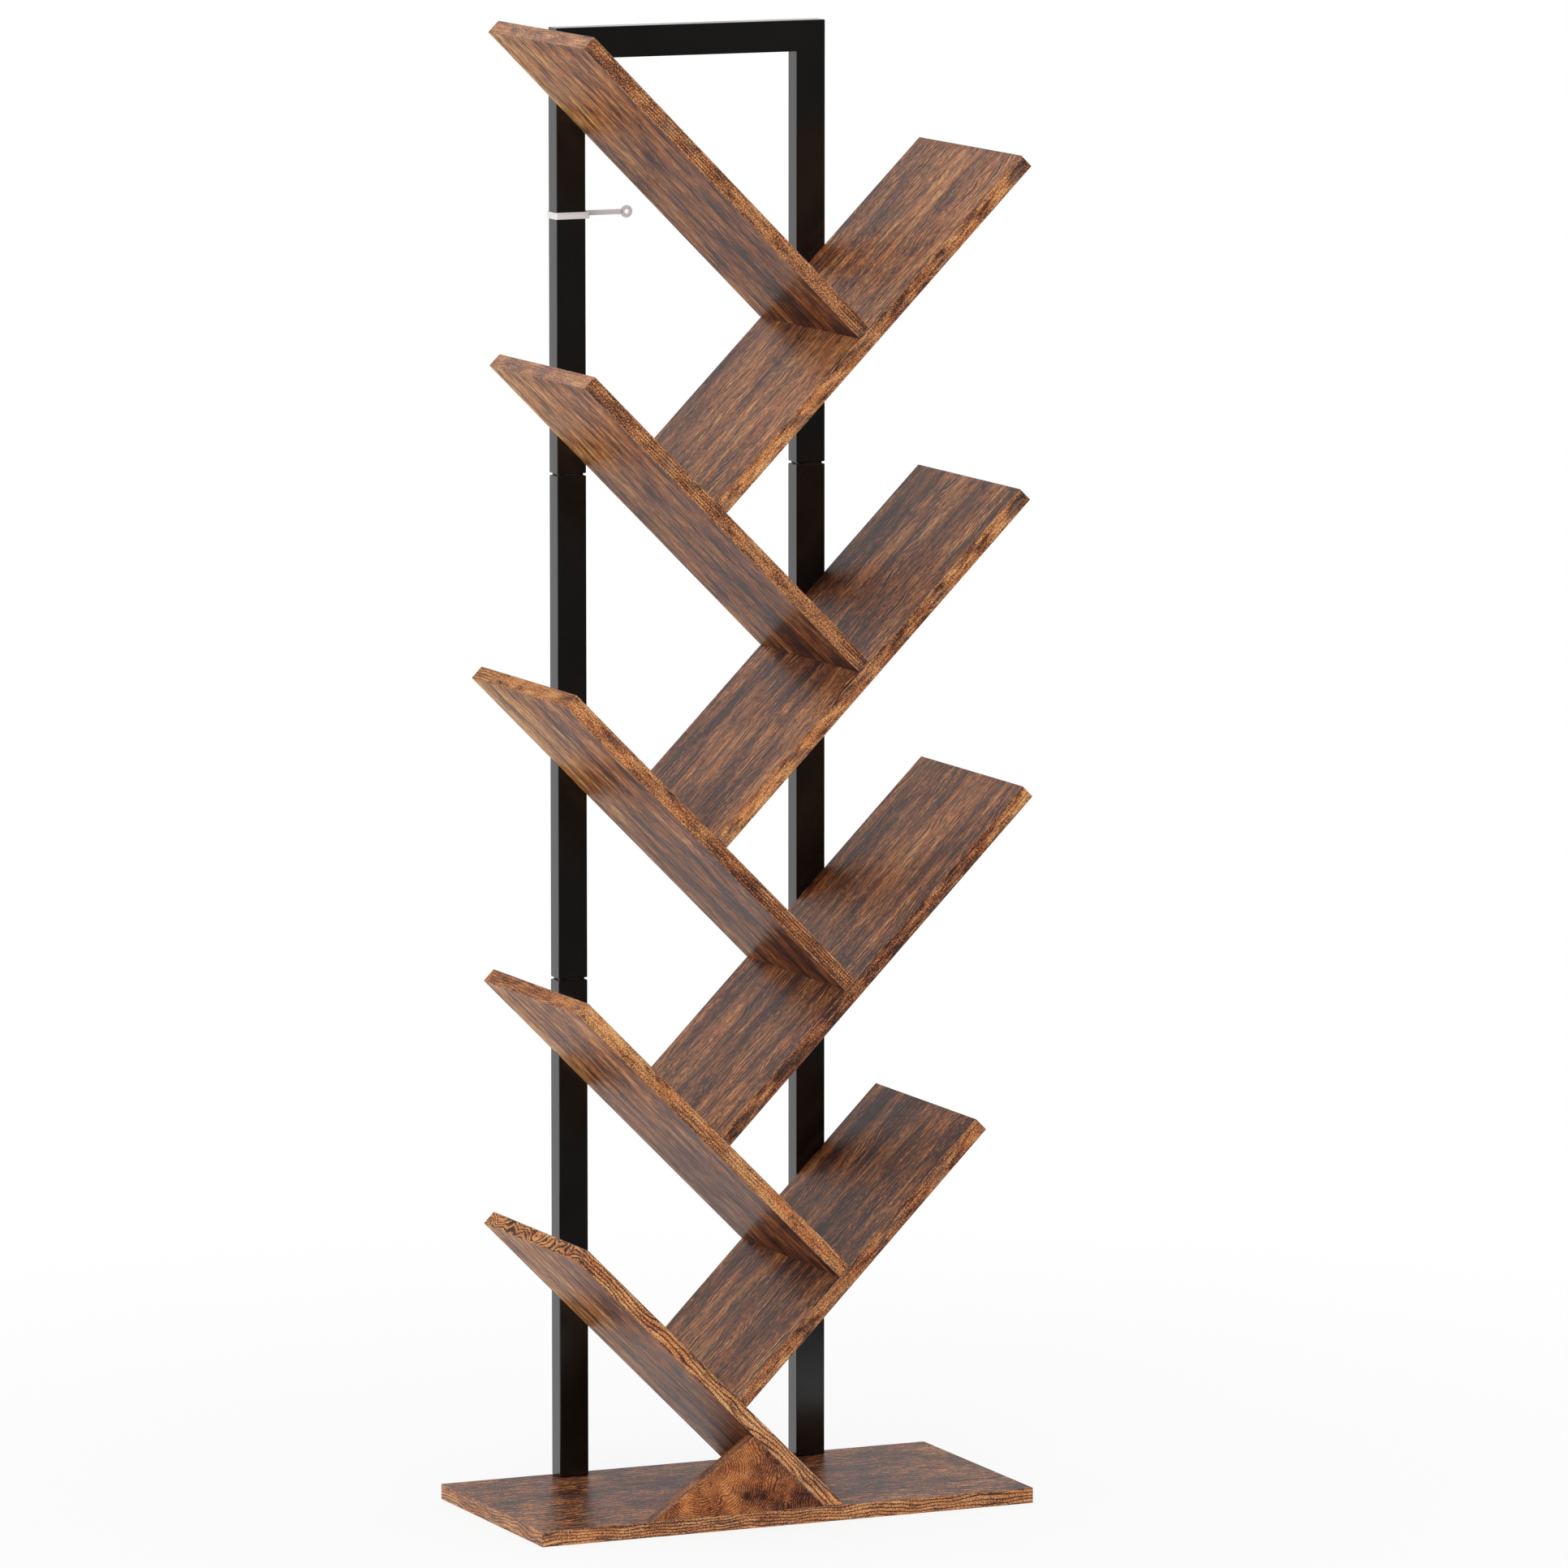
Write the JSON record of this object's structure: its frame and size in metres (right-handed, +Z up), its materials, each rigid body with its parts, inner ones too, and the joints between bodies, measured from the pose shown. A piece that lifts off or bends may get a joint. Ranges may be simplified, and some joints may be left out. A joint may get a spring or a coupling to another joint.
{
  "type": "tree shaped bookshelf",
  "caption": "Free-standing tree shaped bookshelf: sloping boards branch left and right above a base board, on a slim steel tube frame.",
  "frame": {"origin": "middle of the base board's underside, on the floor", "axes": "+X to the viewer's right along the base board, +Y from the open front to the tube frame at the back, +Z up"},
  "size_m": [0.512, 0.2543, 1.424],
  "materials": {
    "wood_laminate": "rustic brown wood grain laminate on particle board, satin, edges banded to match",
    "black_frame": "black powder coat, smooth, semi-gloss",
    "black_nylon": "moulded nylon",
    "black_bolt": "black coated steel",
    "zinc_steel": "zinc plated, bright",
    "white_nylon": "moulded nylon, slight sheen"
  },
  "bodies": {
    "root": {"base_board": "wood_laminate", "base_gusset": "wood_laminate", "left_shelf_1": "wood_laminate", "left_shelf_2": "wood_laminate", "left_shelf_3": "wood_laminate", "left_shelf_4": "wood_laminate", "left_shelf_5": "wood_laminate", "right_shelf_1": "wood_laminate", "right_shelf_2": "wood_laminate", "right_shelf_3": "wood_laminate", "right_shelf_4": "wood_laminate", "frame_top_section": "black_frame", "frame_middle_post_left": "black_frame", "frame_middle_post_right": "black_frame", "frame_lower_post_left": "black_frame", "frame_lower_post_right": "black_frame", "post_connector_upper_left": "black_nylon", "post_connector_upper_right": "black_nylon", "post_connector_lower_left": "black_nylon", "post_connector_lower_right": "black_nylon", "frame_bolt_left_1": "black_bolt", "frame_bolt_left_2": "black_bolt", "frame_bolt_left_3": "black_bolt", "frame_bolt_left_4": "black_bolt", "frame_bolt_left_5": "black_bolt", "frame_bolt_right_1": "black_bolt", "frame_bolt_right_2": "black_bolt", "frame_bolt_right_3": "black_bolt", "frame_bolt_right_4": "black_bolt", "shelf_screw_1_front": "zinc_steel", "shelf_screw_1_back": "zinc_steel", "shelf_screw_2_front": "zinc_steel", "shelf_screw_2_back": "zinc_steel", "shelf_screw_3_front": "zinc_steel", "shelf_screw_3_back": "zinc_steel", "shelf_screw_4_front": "zinc_steel", "shelf_screw_4_back": "zinc_steel", "cam_lock_1_front": "zinc_steel", "cam_lock_1_back": "zinc_steel", "cam_lock_2_front": "zinc_steel", "cam_lock_2_back": "zinc_steel", "cam_lock_3_front": "zinc_steel", "cam_lock_3_back": "zinc_steel", "cam_lock_4_front": "zinc_steel", "cam_lock_4_back": "zinc_steel", "cam_bolt_1_front": "zinc_steel", "cam_bolt_1_back": "zinc_steel", "cam_bolt_2_front": "zinc_steel", "cam_bolt_2_back": "zinc_steel", "cam_bolt_3_front": "zinc_steel", "cam_bolt_3_back": "zinc_steel", "cam_bolt_4_front": "zinc_steel", "cam_bolt_4_back": "zinc_steel", "foot_screw_front": "zinc_steel", "foot_screw_back": "zinc_steel", "gusset_screw_base": "zinc_steel", "gusset_screw_shelf": "zinc_steel", "post_bolt_left": "zinc_steel", "post_bolt_right": "zinc_steel", "wall_tie": "white_nylon"}
  },
  "joints": []
}
